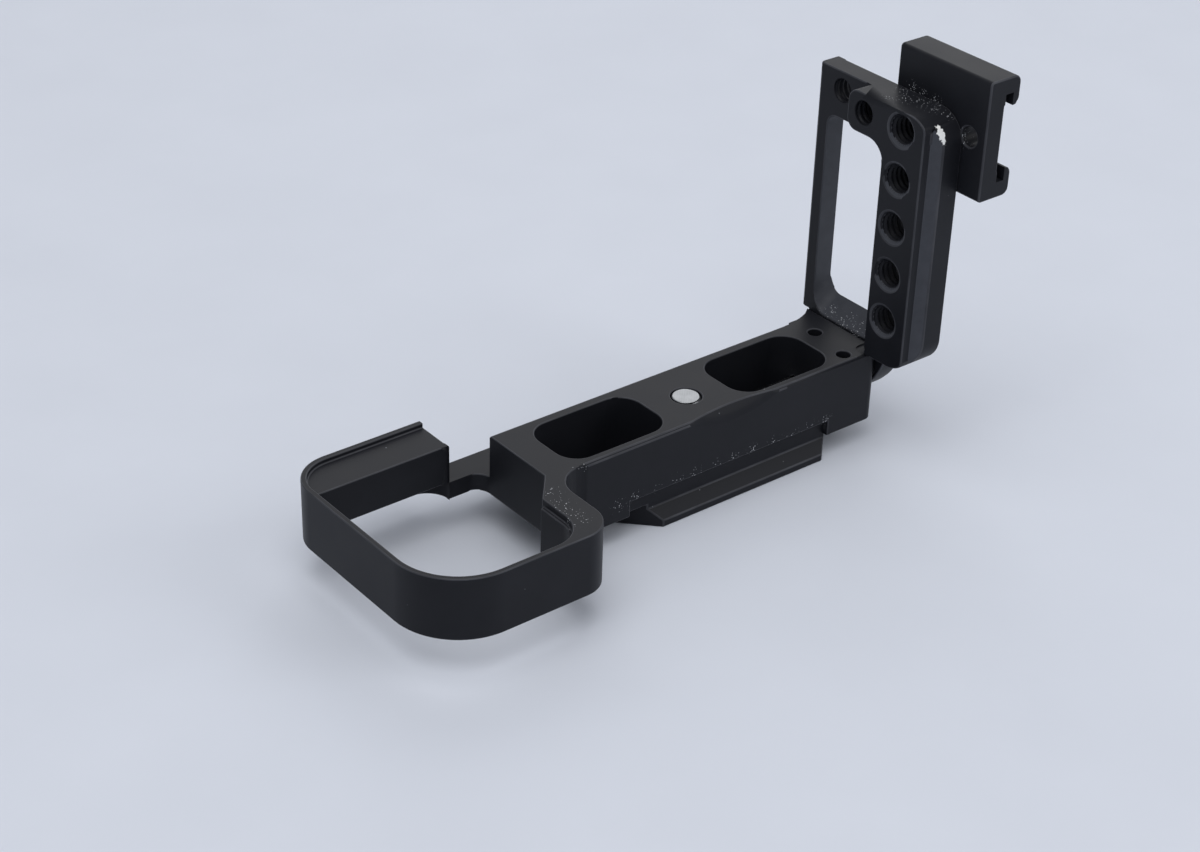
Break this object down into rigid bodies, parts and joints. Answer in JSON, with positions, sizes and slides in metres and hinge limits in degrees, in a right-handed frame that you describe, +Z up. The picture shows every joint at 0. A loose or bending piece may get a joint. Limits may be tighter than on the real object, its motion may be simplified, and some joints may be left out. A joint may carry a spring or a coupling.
{
  "type": "camera l-bracket",
  "caption": "L-shaped camera bracket: base bar with an open grip loop and dovetail rail, and a sliding upright side plate with threaded holes, dovetail edges and a cold shoe.",
  "frame": {"origin": "on the camera screw's axis, on the seat that the camera rests on", "axes": "+X along the base bar towards the side plate, +Y towards the back of the camera, +Z up out of the seat along the camera screw"},
  "size_m": [0.1392, 0.0568, 0.0864],
  "materials": {
    "anodised_aluminium": "satin black anodised",
    "bright_steel": "bright turned stainless",
    "spring_steel": "phosphated spring steel",
    "black_steel": "black oxide"
  },
  "bodies": {
    "base": {"base_plate": "anodised_aluminium", "snap_ring": "spring_steel"},
    "screw_carrier": {"screw_washer": "bright_steel"},
    "screw": {"camera_screw": "bright_steel"},
    "lock_front": {"lock_screw_front": "black_steel"},
    "lock_rear": {"lock_screw_rear": "black_steel"},
    "side": {"side_plate": "anodised_aluminium", "guide_rod_front": "bright_steel", "guide_rod_rear": "bright_steel", "rod_bolt_front": "black_steel", "rod_bolt_rear": "black_steel", "shoe_bolt": "black_steel"},
    "shoe": {"cold_shoe": "anodised_aluminium"}
  },
  "joints": [
    {"name": "side_slide", "type": "slide", "parent": "base", "child": "side", "axis": [1, 0, 0], "range_m": [0, 0.01]},
    {"name": "shoe_swivel", "type": "hinge", "parent": "side", "child": "shoe", "pos_m": [0.0502, -0.0128, 0.0522], "axis": [1, 0, 0], "continuous": true},
    {"name": "screw_lift", "type": "slide", "parent": "base", "child": "screw_carrier", "axis": [0, 0, 1], "range_m": [0, 0.0048]},
    {"name": "screw_turn", "type": "hinge", "parent": "screw_carrier", "child": "screw", "pos_m": [0, 0, 0], "axis": [0, 0, 1], "continuous": true},
    {"name": "lock_front_turn", "type": "hinge", "parent": "base", "child": "lock_front", "pos_m": [0.0377, -0.006, 0], "axis": [0, 0, 1], "range_deg": [0, 720]},
    {"name": "lock_rear_turn", "type": "hinge", "parent": "base", "child": "lock_rear", "pos_m": [0.0393, 0.0045, 0], "axis": [0, 0, 1], "range_deg": [0, 720]}
  ]
}
